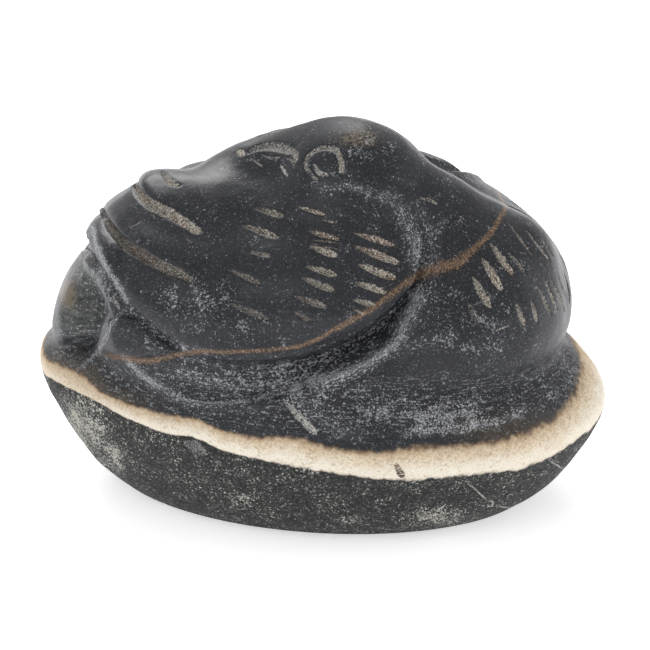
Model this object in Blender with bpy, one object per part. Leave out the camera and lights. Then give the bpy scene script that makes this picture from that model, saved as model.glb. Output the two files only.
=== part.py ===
"""A duck asleep on an oval base, carved in one piece from a banded black stone.

The form is drawn in millimetres for a stone 60 mm long: x runs to the breast, y away from the near side and z up.
The carver's side drawing shows that form turned a little to the breast and seen from a little above, and its
outlines are points (along, up) of that drawing. The finished mesh is stretched to the three sizes below."""

import math

import bmesh
import bpy
import numpy as np
from mathutils import Vector
from mathutils.bvhtree import BVHTree

STONE_LENGTH = 0.060
STONE_WIDTH = 0.040
STONE_HEIGHT = 0.0416

# The base: an oval pebble, its half axes as drawn, and its girth as a share of them at each height
BASE_HALF_LENGTH = 30.0
BASE_HALF_WIDTH = 20.0
BASE_GIRTH = (
    (-4.0, 0.20), (0.0, 0.67), (1.2, 0.76), (3.5, 0.85), (7.0, 0.93), (10.0, 0.985), (12.3, 1.0),
    (14.2, 0.975), (16.0, 0.925), (17.4, 0.87), (18.6, 0.79), (19.5, 0.63), (20.5, 0.20), (28.0, -1.5),
)
RIM_HEIGHT = 12.3
RIM_SLOPE = -0.03
TAIL_LEDGE_DROP = 0.7
FOOT_ROUNDING = 0.8
LEDGE_BLEND = 1.2

# The body's masses, each an ellipsoid: its centre, half axes and pitch in degrees; the near wing's tip lies highest
TRUNK = ((-1.0, 0.0, 14.5), (25.0, 18.0, 18.8), 0.0)
WING = ((-7.5, -6.5, 21.1), (15.0, 12.0, 10.1), 2.0)
NEAR_TIP = ((-9.5, -4.0, 24.7), (15.0, 14.3, 8.6), 4.0)
CREST = ((-9.6, -3.8, 29.1), (10.5, 7.0, 6.3), 2.0)
FAR_TIP = ((-8.2, 4.5, 22.6), (14.0, 13.3, 8.0), 2.0)
MANTLE = ((0.5, -6.0, 25.8), (13.0, 11.0, 7.6), 3.0)
BREAST = ((11.7, -0.9, 21.6), (14.6, 13.0, 11.4), 0.0)
TAIL = ((-24.3, 0.0, 20.2), (6.9, 9.0, 3.2), -62.0)
FAR_SHOULDER = ((13.7, 5.5, 29.1), (11.5, 6.8, 3.5), 32.0)
BODY_BLEND = 2.0
TIP_BLEND = 1.0
BREAST_BLEND = 1.5

# The head, laid back along the spine with its bill towards the tail
NECK = ((18.8, -0.5, 26.4), (11.5, -0.8, 30.6), (6.5, -1.0, 32.8))
NECK_RADII = (6.3, 5.6, 6.4)
CROWN = ((3.1, -0.8, 35.0), (7.3, 7.2, 6.6), 1.0)
BILL = ((-6.3, 1.1, 34.8), (9.6, 4.0, 3.4), -24.0)
HEAD_BLEND = 2.5
NAPE_BLEND = 1.5
SHOULDER_BLENDS = ((-8.0, -3.0, 2.0), (6.0, 3.2, 1.2))

# The side drawing's turn and rise, and what the carver drew on it
DRAWING_TURN = 12.0
DRAWING_RISE = 25.0
WING_OUTLINE = (
    (-23.7, 27.8), (-24.2, 25.9), (-23.7, 23.8), (-22.3, 21.3), (-20.4, 18.5), (-17.9, 16.1), (-14.7, 14.0),
    (-11.3, 12.6), (-7.1, 12.3), (-2.3, 12.9), (1.4, 14.1), (4.6, 15.8), (7.4, 17.9), (9.3, 20.0),
    (10.1, 22.1), (9.9, 24.2), (8.8, 26.3), (7.2, 28.0), (4.6, 29.4), (1.7, 30.7), (-1.3, 32.0),
    (-4.4, 34.5), (-10.2, 37.7), (-18.1, 36.6), (-22.8, 30.8),
)
FLANK_OUTLINE = (
    (-25.4, 28.5), (-25.6, 25.5), (-25.0, 23.0), (-23.6, 20.3), (-21.9, 17.6), (-20.8, 14.9), (-20.3, 12.3),
    (-18.1, 10.6), (-14.9, 8.7), (-11.3, 7.6), (-6.5, 7.8), (-2.3, 8.9), (1.5, 10.8), (4.6, 12.3),
    (7.3, 14.2), (8.8, 16.0), (10.2, 18.3), (11.4, 20.8), (11.8, 23.5), (11.2, 26.3), (9.6, 28.9),
    (7.6, 30.3), (5.0, 31.6), (1.5, 34.0), (-4.4, 37.7), (-10.2, 40.8), (-20.2, 40.8), (-25.6, 33.5),
)
CHANNEL_DEPTH = 2.6
CHANNEL_SHARES = (
    (0.0, 0.30), (0.07, 0.35), (0.14, 0.45), (0.20, 0.50), (0.26, 0.75), (0.33, 0.95), (0.42, 1.0), (0.46, 0.92),
    (0.49, 0.70), (0.52, 0.48), (0.56, 0.36), (0.60, 0.28), (0.66, 0.16), (0.72, 0.05), (0.78, 0.0), (0.90, 0.0),
    (1.0, 0.70),
)
EDGE_ROUNDING = 0.5
LIP_RISE = 0.35
LIP_HALF_WIDTH = 1.1
LIP_STARTS = (-22.5, -19.0)
MIDDLE_LOBE = (
    (-22.6, 34.5), (-23.0, 29.3), (-23.1, 28.2), (-22.3, 26.9), (-21.1, 25.4), (-19.4, 24.1), (-17.1, 22.7),
    (-14.3, 21.4), (-11.3, 19.8), (-4.4, 18.7), (0.8, 20.8), (1.9, 29.3), (-2.3, 37.7), (-12.8, 39.8),
)
UPPER_LOBE = (
    (-17.7, 36.6), (-18.0, 31.6), (-18.4, 30.2), (-18.0, 29.2), (-16.8, 28.1), (-14.9, 26.9), (-12.5, 25.8),
    (-8.6, 24.0), (-2.3, 24.0), (0.8, 29.3), (-2.3, 37.7), (-10.7, 39.8),
)
NOSE_LOBE = (
    (-26.0, 30.0), (-26.8, 26.5), (-25.4, 24.7), (-24.0, 23.4), (-22.9, 22.0), (-22.0, 21.0), (-21.3, 22.2),
    (-20.9, 24.2), (-21.8, 26.3), (-22.5, 28.4), (-22.9, 29.9),
)
MIDDLE_STEP = 0.95
UPPER_STEP = 0.65
NOSE_RISE = 0.8
NOSE_ROUNDING = 1.7
LOBE_ROUNDING = 1.7
LOBES_FADE = (-18.0, -12.0)
FLANK_LENS = (
    (-22.0, 16.6), (-22.9, 15.0), (-23.0, 13.4), (-21.5, 12.7), (-18.5, 12.6), (-16.2, 13.2), (-16.4, 13.9),
    (-18.4, 15.3), (-20.4, 17.0),
)
LENS_RISE = 1.1
LENS_ROUNDING = 1.3
TAIL_HOLLOW = (
    (-24.2, 24.8), (-25.6, 22.5), (-26.9, 19.8), (-27.8, 17.2), (-27.4, 14.8), (-26.0, 13.1), (-24.4, 12.8),
    (-23.3, 14.0), (-22.8, 16.0), (-22.0, 17.6), (-22.6, 20.4), (-23.4, 22.8),
)
TAIL_HOLLOW_DEPTH = 1.2
TAIL_HOLLOW_ROUNDING = 2.0
TIP_OVERLAP = 4.0
TIP_OVERLAP_STARTS = (-12.0, -18.0)
OVERLAP_EDGE = 0.6
RELIEF_STARTS = (13.5, 17.0)

# Columns of short feather cuts: top, foot, how many, the lengths there, bow of the column and lean in degrees
WING_COLUMNS = (
    ((-7.3, 28.2), (-9.8, 21.9), 3, (3.3, 3.6), -0.8, -19.0),
    ((-1.6, 25.8), (-3.0, 17.4), 6, (3.4, 3.0), 0.2, -18.0),
    ((3.2, 25.7), (3.0, 18.6), 5, (4.9, 2.8), 0.3, -18.0),
)
BREAST_COLUMNS = (
    ((17.4, 24.8), (15.6, 21.0), 3, (4.3, 3.8), 0.0, -58.0),
    ((24.2, 20.6), (20.2, 18.4), 4, (3.4, 2.6), 0.0, -68.0),
)
CUT_RADIUS = 0.42
LOWER_GROOVE = ((-22.4, 27.1), (-21.2, 25.3), (-19.6, 23.9), (-17.2, 22.9), (-14.8, 21.6))
UPPER_GROOVE = ((-19.1, 30.1), (-18.2, 28.8), (-16.8, 27.8), (-15.0, 26.9), (-13.2, 25.9))
GROOVE_RADIUS = 0.45
EYE_PLACE = (0.2, 33.0)
EYE_RADIUS = 1.55
EYE_LINE = 0.28
NOSTRIL_ARCH = ((-8.8, 34.1), (-7.6, 34.8), (-5.2, 35.0), (-3.5, 34.8), (-2.8, 33.9), (-3.1, 32.5))
NOSTRIL_LINE = 0.30
TOOL_SIDES = 6
THIN_END = 0.25
SPINE_GAP = 0.8

GRID = 72
SOLID_TRIANGLES = 5600
RAY_START = 36.0
RAY_END = 6.0
HEART = np.array([0.0, 0.0, 15.0])
FLAT_WITHIN = 0.02
STONE_COLOUR = (0.030, 0.032, 0.036, 1.0)


def drawing_axes():
    """The drawing's across, upward and outward directions on the near side."""
    turn, rise = math.radians(DRAWING_TURN), math.radians(DRAWING_RISE)
    across = np.array([math.cos(turn), math.sin(turn), 0.0])
    outward = np.array([math.sin(turn) * math.cos(rise), -math.cos(turn) * math.cos(rise), math.sin(rise)])
    return across, np.cross(outward, across), outward


def ease(low, high, x):
    """0 at low, 1 at high and an even curve between; low may be the larger."""
    t = np.clip((x - low) / (high - low), 0.0, 1.0)
    return t * t * (3 - 2 * t)


def on_drawing(points):
    """Where points fall on the side drawing."""
    across, upward, _ = drawing_axes()
    return np.stack([points @ across, points @ upward], axis=1)


def mirrored(points):
    """Points of the far side where they fall on the near side."""
    near = points.copy()
    near[:, 1] = -np.abs(points[:, 1])
    return near


def wings_meet(x):
    """Where the two wings meet across the back: on the spine, then past it where one tip lies over the other."""
    return TIP_OVERLAP * ease(*TIP_OVERLAP_STARTS, x)


def smooth_line(points, closed, steps=6):
    """A Catmull-Rom curve through the points."""
    p = np.array(points, float)
    ends = (p[-1:], p[:2]) if closed else (2 * p[:1] - p[1:2], 2 * p[-1:] - p[-2:-1])
    p = np.concatenate([ends[0], p, ends[1]])
    curve = []
    for a, b, c, d in zip(p[:-3], p[1:-2], p[2:-1], p[3:]):
        for t in np.arange(steps) / steps:
            bend = (2 * a - 5 * b + 4 * c - d) * t + (3 * b - 3 * c + d - a) * t * t
            curve.append(b + 0.5 * t * (c - a + bend))
    return np.array(curve if closed else curve + [p[-2]])


def outline_distance(q, outline):
    """Signed distance to a closed outline, negative inside, and the nearest point's share of the way round."""
    line = smooth_line(outline, closed=True)
    after = np.roll(line, -1, axis=0)
    lengths = np.linalg.norm(after - line, axis=1)
    start = np.concatenate([[0.0], np.cumsum(lengths)])
    best = np.full(len(q), np.inf)
    share = np.zeros(len(q))
    within = np.zeros(len(q), bool)
    for a, b, length, before in zip(line, after, lengths, start):
        t = np.clip((q - a) @ (b - a) / length**2, 0.0, 1.0)
        away = np.hypot(*(q - a - t[:, None] * (b - a)).T)
        nearer = away < best
        best = np.where(nearer, away, best)
        share = np.where(nearer, (before + t * length) / start[-1], share)
        if a[1] != b[1]:
            beside = q[:, 0] < a[0] + (q[:, 1] - a[1]) / (b[1] - a[1]) * (b[0] - a[0])
            within ^= ((a[1] > q[:, 1]) != (b[1] > q[:, 1])) & beside
    return np.where(within, -best, best), share


def join(a, b, blend):
    """Two fields as one mass, with a fillet where they meet."""
    h = np.clip(0.5 + 0.5 * (b - a) / blend, 0.0, 1.0)
    return b * (1 - h) + a * h - blend * h * (1 - h)


def meet(a, b, blend):
    """What two fields share, with a rounded edge."""
    return -join(-a, -b, blend)


def ellipsoid(p, mass):
    centre, radii, pitch = mass
    c, s = math.cos(math.radians(pitch)), math.sin(math.radians(pitch))
    q = (p - centre) @ np.array([[c, 0, s], [0, 1, 0], [-s, 0, c]])
    near = np.linalg.norm(q / radii, axis=1)
    slope = np.linalg.norm(q / np.square(radii), axis=1)
    return near * (near - 1) / np.maximum(slope, 1e-9)


def tapered_limb(p, start, end, start_radius, end_radius):
    way = np.subtract(end, start)
    t = np.clip((p - start) @ way / (way @ way), 0.0, 1.0)
    return np.linalg.norm(p - start - t[:, None] * way, axis=1) - start_radius - (end_radius - start_radius) * t


def base_field(p):
    girth = smooth_line(BASE_GIRTH, closed=False)
    height = p[:, 2] - RIM_SLOPE * p[:, 0] * np.clip(p[:, 2] / RIM_HEIGHT, 0.0, 1.0)
    towards_tail = np.clip(-p[:, 0] / BASE_HALF_LENGTH, 0.0, 1.0)
    height += TAIL_LEDGE_DROP * towards_tail * np.maximum(height - RIM_HEIGHT, 0.0)
    share = np.interp(height, girth[:, 0], girth[:, 1])
    return (np.hypot(p[:, 0] / BASE_HALF_LENGTH, p[:, 1] / BASE_HALF_WIDTH) - share) * BASE_HALF_WIDTH


def body_field(p):
    near = mirrored(p)
    body = join(ellipsoid(near, TRUNK), ellipsoid(near, WING), BODY_BLEND)
    body = join(body, ellipsoid(p, FAR_TIP), BODY_BLEND)
    body = join(body, ellipsoid(p, NEAR_TIP), TIP_BLEND)
    body = join(body, ellipsoid(p, CREST), BODY_BLEND)
    body = join(body, ellipsoid(near, MANTLE), BODY_BLEND)
    body = join(body, ellipsoid(near, BREAST), BREAST_BLEND)
    body = join(body, ellipsoid(near, TAIL), TIP_BLEND)
    body = join(body, ellipsoid(p, FAR_SHOULDER), BODY_BLEND)
    return meet(join(body, base_field(p), LEDGE_BLEND), -p[:, 2], FOOT_ROUNDING)


def shoulder_blend(p):
    """The head runs smoothly into the near wing, and meets the far one in a crease."""
    return np.interp(p[:, 1], *SHOULDER_BLENDS)


def head_field(p):
    lower = tapered_limb(p, NECK[0], NECK[1], NECK_RADII[0], NECK_RADII[1])
    upper = tapered_limb(p, NECK[1], NECK[2], NECK_RADII[1], NECK_RADII[2])
    head = join(join(lower, upper, NAPE_BLEND), ellipsoid(p, CROWN), HEAD_BLEND)
    return join(head, ellipsoid(p, BILL), HEAD_BLEND)


def rise(q, outline, height, rounding):
    """A shape that stands up from what it lies on, with a rounded edge."""
    within = np.clip(-outline_distance(q, outline)[0] / rounding, 0.0, 1.0)
    return height * np.sqrt(1 - (1 - within) ** 2)


def carving(q):
    """How far the carving lifts a place on the drawing: the channel under the wing, its edge and its lobes."""
    to_wing, share = outline_distance(q, WING_OUTLINE)
    to_flank = -outline_distance(q, FLANK_OUTLINE)[0]
    across = np.clip(to_wing / np.maximum(to_wing + to_flank, 1e-6), 0.0, 1.0)
    strength = np.interp(share, *zip(*CHANNEL_SHARES))
    depth = CHANNEL_DEPTH * strength * np.where((to_wing > 0) & (to_flank > 0), np.sin(math.pi * across**0.6), 0.0)
    edge = EDGE_ROUNDING * strength * ease(-1.6, 0.0, to_wing) ** 2 * ease(1.6, 0.0, to_wing)
    lip = LIP_RISE * strength * ease(LIP_HALF_WIDTH, 0.0, np.abs(to_flank)) * ease(*LIP_STARTS, q[:, 0])
    lobes = rise(q, MIDDLE_LOBE, MIDDLE_STEP, LOBE_ROUNDING) + rise(q, UPPER_LOBE, UPPER_STEP, LOBE_ROUNDING)
    nose = rise(q, NOSE_LOBE, NOSE_RISE, NOSE_ROUNDING)
    lens = rise(q, FLANK_LENS, LENS_RISE, LENS_ROUNDING)
    hollow = TAIL_HOLLOW_DEPTH * ease(0.0, TAIL_HOLLOW_ROUNDING, -outline_distance(q, TAIL_HOLLOW)[0])
    return lobes * (1 - ease(*LOBES_FADE, q[:, 0])) + nose + lip + lens - depth - edge - hollow


def relief(points):
    """The carving on both sides; the near wing's tip lies over the far one's."""
    near = ease(OVERLAP_EDGE, -OVERLAP_EDGE, points[:, 1] - wings_meet(points[:, 0]))
    lift = near * carving(on_drawing(points)) + (1 - near) * carving(on_drawing(mirrored(points)))
    return lift * ease(*RELIEF_STARTS, points[:, 2])


def cast(directions, field, samples=20, halvings=13):
    """The outermost surface of a field along each direction from the stone's heart."""
    radii = np.linspace(RAY_START, RAY_END, samples)
    inner = np.full(len(directions), RAY_END)
    outer = np.full(len(directions), RAY_START)
    left = np.arange(len(directions))
    for far, near in zip(radii[:-1], radii[1:]):
        solid = field(HEART + near * directions[left], left) <= 0
        inner[left[solid]], outer[left[solid]] = near, far
        left = left[~solid]
    for _ in range(halvings):
        middle = 0.5 * (inner + outer)
        solid = field(HEART + middle[:, None] * directions, np.arange(len(directions))) <= 0
        inner = np.where(solid, middle, inner)
        outer = np.where(solid, outer, middle)
    return HEART + inner[:, None] * directions


def stone_points(directions):
    """The carved form: the smooth body first, then the carving on it, then the head laid over both."""
    body = cast(directions, lambda p, rows: body_field(p))
    lift = relief(body)
    stone = cast(directions, lambda p, rows: join(body_field(p) - lift[rows], head_field(p), shoulder_blend(p)))
    stone[stone[:, 2] < FLAT_WITHIN, 2] = 0.0
    return stone


def stone_mesh():
    """A cube's grid of points, swelled out to the carved form."""
    grid = bmesh.new()
    bmesh.ops.create_cube(grid, size=2.0)
    bmesh.ops.subdivide_edges(grid, edges=grid.edges[:], cuts=GRID - 1, use_grid_fill=True)
    cube = np.array([v.co for v in grid.verts])
    rays = np.tan(cube * math.pi / 4) * (BASE_HALF_LENGTH, BASE_HALF_WIDTH, BASE_HALF_WIDTH)
    points = stone_points(rays / np.linalg.norm(rays, axis=1)[:, None])
    for vertex, point in zip(grid.verts, points):
        vertex.co = point
    bmesh.ops.recalc_face_normals(grid, faces=grid.faces[:])
    mesh = bpy.data.meshes.new("duck_figurine")
    grid.to_mesh(mesh)
    grid.free()
    return mesh


def surface_hit(tree, place, side):
    """The point of the stone under a place on the drawing, if it is on that side; side -1 is the far side."""
    across, upward, outward = drawing_axes()
    mirror = (1.0, side, 1.0)
    start = Vector((place[0] * across + place[1] * upward + 2 * RAY_START * outward) * mirror)
    hit = tree.ray_cast(start, Vector(-outward * mirror))[0]
    return hit if hit and (wings_meet(hit.x) - hit.y) * side > SPINE_GAP else None


def add_tube(tools, centres, radii, closed=False):
    """A tube through the centres, closed into a ring or brought to a point at each end."""
    rings = []
    count = len(centres)
    for i, (centre, radius) in enumerate(zip(centres, radii)):
        ahead = centres[(i + 1) % count] if closed or i < count - 1 else centre
        behind = centres[i - 1] if closed or i else centre
        along = (ahead - behind).normalized()
        aside = along.cross(Vector((0.3, 0.2, 0.93))).normalized()
        above = aside.cross(along)
        angles = [2 * math.pi * k / TOOL_SIDES for k in range(TOOL_SIDES)]
        ring = [centre + radius * (math.cos(a) * aside + math.sin(a) * above) for a in angles]
        rings.append([tools.verts.new(point) for point in ring])
    pairs = list(zip(rings[:-1], rings[1:])) + ([(rings[-1], rings[0])] if closed else [])
    for ring, following in pairs:
        for k in range(TOOL_SIDES):
            after = (k + 1) % TOOL_SIDES
            tools.faces.new((ring[k], ring[after], following[after], following[k]))
    if not closed:
        tools.faces.new(rings[0][::-1])
        tools.faces.new(rings[-1])


def add_groove(tools, tree, places, radius, side, closed=False, steps=2):
    """A groove drawn on the stone, thinning towards both ends unless it closes on itself."""
    line = smooth_line(places, closed, steps)
    hits = [hit for hit in (surface_hit(tree, place, side) for place in line) if hit]
    if len(hits) < 3:
        return
    shares = np.linspace(-1.0, 1.0, len(hits))
    radii = [radius if closed else radius * max(THIN_END, math.sqrt(1 - share**2)) for share in shares]
    add_tube(tools, hits, radii, closed)


def add_column(tools, tree, column, side):
    """A column of short feather cuts, evenly spaced from its top to its foot."""
    top, foot, count, lengths, bow, lean = column
    along = np.array([math.cos(math.radians(lean)), math.sin(math.radians(lean))])
    for share in np.linspace(0.0, 1.0, count):
        start = np.array(top) + share * np.subtract(foot, top) + (bow * math.sin(math.pi * share), 0.0)
        reach = along * np.interp(share, (0.0, 1.0), lengths)
        add_groove(tools, tree, [start, start + 0.5 * reach, start + reach], CUT_RADIUS, side, steps=1)


def carving_tools(mesh):
    """Everything that is cut into the finished surface, on both sides of the stone."""
    source = bmesh.new()
    source.from_mesh(mesh)
    tree = BVHTree.FromBMesh(source)
    source.free()
    tools = bmesh.new()
    turns = np.linspace(0.0, 2 * math.pi, 7)[:-1]
    eye = [(EYE_PLACE[0] + EYE_RADIUS * math.cos(t), EYE_PLACE[1] + EYE_RADIUS * math.sin(t)) for t in turns]
    for side in (1.0, -1.0):
        for column in WING_COLUMNS + BREAST_COLUMNS:
            add_column(tools, tree, column, side)
        add_groove(tools, tree, LOWER_GROOVE, GROOVE_RADIUS, side)
        add_groove(tools, tree, UPPER_GROOVE, GROOVE_RADIUS, side)
        add_groove(tools, tree, NOSTRIL_ARCH, NOSTRIL_LINE, side)
        add_groove(tools, tree, eye, EYE_LINE, side, closed=True)
    bmesh.ops.recalc_face_normals(tools, faces=tools.faces[:])
    made = bpy.data.meshes.new("carving_tools")
    tools.to_mesh(made)
    tools.free()
    return made


def stone_material():
    material = bpy.data.materials.new("banded_stone")
    material.use_nodes = True
    shader = material.node_tree.nodes["Principled BSDF"]
    shader.inputs["Base Color"].default_value = STONE_COLOUR
    shader.inputs["Roughness"].default_value = 0.35
    shader.inputs["Metallic"].default_value = 0.0
    return material


def to_size(mesh, drawn):
    """Stretches drawn points to the stone's real sizes, standing on z = 0 at the middle of its oval."""
    low, high = drawn.min(axis=0), drawn.max(axis=0)
    scale = np.array([STONE_LENGTH, STONE_WIDTH, STONE_HEIGHT]) / (high - low)
    origin = np.array([0.5 * (low[0] + high[0]), 0.5 * (low[1] + high[1]), low[2]])
    for vertex in mesh.vertices:
        vertex.co = (np.array(vertex.co) - origin) * scale
    mesh.update()


def build():
    for thing in list(bpy.data.objects):
        bpy.data.objects.remove(thing)
    mesh = stone_mesh()
    cuts = carving_tools(mesh)
    drawn = np.array([v.co for v in mesh.vertices])
    to_size(mesh, drawn)
    to_size(cuts, drawn)
    tools = bpy.data.objects.new("carving_tools", cuts)
    tools.hide_render = True
    tools.display_type = "WIRE"
    duck = bpy.data.objects.new("duck_figurine", mesh)
    for thing in (duck, tools):
        bpy.context.scene.collection.objects.link(thing)
    mesh.materials.append(stone_material())
    mesh.shade_smooth()
    thin = duck.modifiers.new("thin_grid", "DECIMATE")
    thin.ratio = SOLID_TRIANGLES / (12 * GRID**2)
    carve = duck.modifiers.new("carve", "BOOLEAN")
    carve.operation = "DIFFERENCE"
    carve.object = tools


build()
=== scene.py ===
"""A small banded stone carving of a sleeping duck: its carved surface, its stone, and the studio round it.

The form is drawn in millimetres for a stone 60 mm long: x runs to the breast, y away from the near side
and z up. The carver's side drawing shows that form turned a little to the breast and seen from a little
above, and points on it are (along, up). The finished mesh is fitted to the frame's box, and materials
read millimetres on the stone."""

import math

import bmesh
import bpy
import numpy as np
from mathutils import Matrix, Vector


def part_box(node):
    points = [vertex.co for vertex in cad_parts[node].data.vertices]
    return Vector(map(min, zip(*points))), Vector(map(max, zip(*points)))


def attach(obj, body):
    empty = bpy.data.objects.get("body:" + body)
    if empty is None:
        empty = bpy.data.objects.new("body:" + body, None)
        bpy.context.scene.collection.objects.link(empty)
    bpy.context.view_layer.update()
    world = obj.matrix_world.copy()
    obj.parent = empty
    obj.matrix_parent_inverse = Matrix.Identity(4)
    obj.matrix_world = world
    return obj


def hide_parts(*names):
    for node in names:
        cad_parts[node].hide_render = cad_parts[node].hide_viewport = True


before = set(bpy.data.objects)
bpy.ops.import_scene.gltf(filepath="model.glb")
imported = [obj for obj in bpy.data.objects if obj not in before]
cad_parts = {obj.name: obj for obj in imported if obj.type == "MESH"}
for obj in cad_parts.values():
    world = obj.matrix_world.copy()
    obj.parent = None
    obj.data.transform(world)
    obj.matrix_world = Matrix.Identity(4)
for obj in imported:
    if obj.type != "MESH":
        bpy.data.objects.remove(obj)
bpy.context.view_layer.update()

MM = 0.001
TINY = 1e-9

# The base: an oval pebble, its half axes as drawn, and its girth as a share of them at each height
BASE_HALF_LENGTH = 30.0
BASE_HALF_WIDTH = 20.0
BASE_GIRTH = (
    (-4.0, 0.2), (0.0, 0.67), (1.2, 0.76), (3.5, 0.85), (7.0, 0.93), (10.0, 0.985), (12.3, 1.0),
    (14.2, 0.975), (16.0, 0.925), (17.4, 0.87), (18.6, 0.79), (19.5, 0.63), (20.5, 0.2), (28.0, -1.5),
)
RIM_HEIGHT = 12.3
RIM_SLOPE = -0.03
TAIL_LEDGE_DROP = 0.7
FOOT_ROUNDING = 0.8
LEDGE_BLEND = 1.2

# The body's masses, each an ellipsoid: its centre, half axes and pitch in degrees
TRUNK = ((-1.0, 0.0, 14.5), (25.0, 18.0, 18.8), 0.0)
# What joins the trunk in turn: the mass, whether the far side has the same, and the fillet
JOINED_TO_TRUNK = {
    "wing": (((-7.5, -6.5, 21.1), (15.0, 12.0, 10.1), 2.0), True, 2.0),
    "far tip": (((-8.2, 4.5, 22.6), (14.0, 13.3, 8.0), 2.0), False, 2.0),
    "near tip": (((-9.5, -4.0, 24.7), (15.0, 14.3, 8.6), 4.0), False, 1.0),
    "crest": (((-9.6, -3.8, 29.1), (10.5, 7.0, 6.3), 2.0), False, 2.0),
    "mantle": (((0.5, -6.0, 25.8), (13.0, 11.0, 7.6), 3.0), True, 2.0),
    "breast": (((11.7, -0.9, 21.6), (14.6, 13.0, 11.4), 0.0), True, 1.5),
    "tail": (((-24.3, 0.0, 20.2), (6.9, 9.0, 3.2), -62.0), True, 1.0),
    "far shoulder": (((13.7, 5.5, 29.1), (11.5, 6.8, 3.5), 32.0), False, 2.0),
}

# The head, laid back along the spine with its bill towards the tail
NECK = ((18.8, -0.5, 26.4), (11.5, -0.8, 30.6), (6.5, -1.0, 32.8))
NECK_RADII = (6.3, 5.6, 6.4)
CROWN = ((3.1, -0.8, 35.0), (7.3, 7.2, 6.6), 1.0)
BILL = ((-6.3, 1.1, 34.8), (9.6, 4.0, 3.4), -24.0)
HEAD_BLEND = 2.5
NAPE_BLEND = 1.5
SHOULDER_BLENDS = ((-8.0, -3.0, 2.0), (6.0, 3.2, 1.2))

# The side drawing's turn and rise, and what the carver drew on it
DRAWING_TURN = 12.0
DRAWING_RISE = 25.0
WING_OUTLINE = (
    (-23.7, 27.8), (-24.2, 25.9), (-23.7, 23.8), (-22.3, 21.3), (-20.4, 18.5), (-17.9, 16.1), (-14.7, 14.0),
    (-11.3, 12.6), (-7.1, 12.3), (-2.3, 12.9), (1.4, 14.1), (4.6, 15.8), (7.4, 17.9), (9.3, 20.0),
    (10.1, 22.1), (9.9, 24.2), (8.8, 26.3), (7.2, 28.0), (4.6, 29.4), (1.7, 30.7), (-1.3, 32.0),
    (-4.4, 34.5), (-10.2, 37.7), (-18.1, 36.6), (-22.8, 30.8),
)
FLANK_OUTLINE = (
    (-25.4, 28.5), (-25.6, 25.5), (-25.0, 23.0), (-23.6, 20.3), (-21.9, 17.6), (-20.8, 14.9), (-20.3, 12.3),
    (-18.1, 10.6), (-14.9, 8.7), (-11.3, 7.6), (-6.5, 7.8), (-2.3, 8.9), (1.5, 10.8), (4.6, 12.3),
    (7.3, 14.2), (8.8, 16.0), (10.2, 18.3), (11.4, 20.8), (11.8, 23.5), (11.2, 26.3), (9.6, 28.9),
    (7.6, 30.3), (5.0, 31.6), (1.5, 34.0), (-4.4, 37.7), (-10.2, 40.8), (-20.2, 40.8), (-25.6, 33.5),
)
CHANNEL_DEPTH = 2.6
CHANNEL_SKEW = 0.6
CHANNEL_SHARES = (
    (0.0, 0.3), (0.07, 0.35), (0.14, 0.45), (0.2, 0.5), (0.26, 0.75), (0.33, 0.95), (0.42, 1.0),
    (0.46, 0.92), (0.49, 0.7), (0.52, 0.48), (0.56, 0.36), (0.6, 0.28), (0.66, 0.16), (0.72, 0.05),
    (0.78, 0.0), (0.9, 0.0), (1.0, 0.7),
)
EDGE_ROUNDING = 0.5
EDGE_WIDTH = 1.6
LIP_RISE = 0.35
LIP_HALF_WIDTH = 1.1
LIP_STARTS = (-22.5, -19.0)
MIDDLE_LOBE = (
    (-22.6, 34.5), (-23.0, 29.3), (-23.1, 28.2), (-22.3, 26.9), (-21.1, 25.4), (-19.4, 24.1), (-17.1, 22.7),
    (-14.3, 21.4), (-11.3, 19.8), (-4.4, 18.7), (0.8, 20.8), (1.9, 29.3), (-2.3, 37.7), (-12.8, 39.8),
)
UPPER_LOBE = (
    (-17.7, 36.6), (-18.0, 31.6), (-18.4, 30.2), (-18.0, 29.2), (-16.8, 28.1), (-14.9, 26.9), (-12.5, 25.8),
    (-8.6, 24.0), (-2.3, 24.0), (0.8, 29.3), (-2.3, 37.7), (-10.7, 39.8),
)
NOSE_LOBE = (
    (-26.0, 30.0), (-26.8, 26.5), (-25.4, 24.7), (-24.0, 23.4), (-22.9, 22.0), (-22.0, 21.0), (-21.3, 22.2),
    (-20.9, 24.2), (-21.8, 26.3), (-22.5, 28.4), (-22.9, 29.9),
)
MIDDLE_STEP = 0.95
UPPER_STEP = 0.65
NOSE_RISE = 0.8
NOSE_ROUNDING = 1.7
LOBE_ROUNDING = 1.7
LOBES_FADE = (-18.0, -12.0)
FLANK_LENS = (
    (-22.0, 16.6), (-22.9, 15.0), (-23.0, 13.4), (-21.5, 12.7), (-18.5, 12.6), (-16.2, 13.2), (-16.4, 13.9),
    (-18.4, 15.3), (-20.4, 17.0),
)
LENS_RISE = 1.1
LENS_ROUNDING = 1.3
TAIL_HOLLOW = (
    (-24.2, 24.8), (-25.6, 22.5), (-26.9, 19.8), (-27.8, 17.2), (-27.4, 14.8), (-26.0, 13.1), (-24.4, 12.8),
    (-23.3, 14.0), (-22.8, 16.0), (-22.0, 17.6), (-22.6, 20.4), (-23.4, 22.8),
)
TAIL_HOLLOW_DEPTH = 1.2
TAIL_HOLLOW_ROUNDING = 2.0
TIP_OVERLAP = 4.0
TIP_OVERLAP_STARTS = (-12.0, -18.0)
OVERLAP_EDGE = 0.6
RELIEF_STARTS = (13.5, 17.0)
HEAD_COVERS = (0.6, 0.1)
LEDGE_STREAKS = (13.5, 15.0, 21.0, 17.5)

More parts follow.
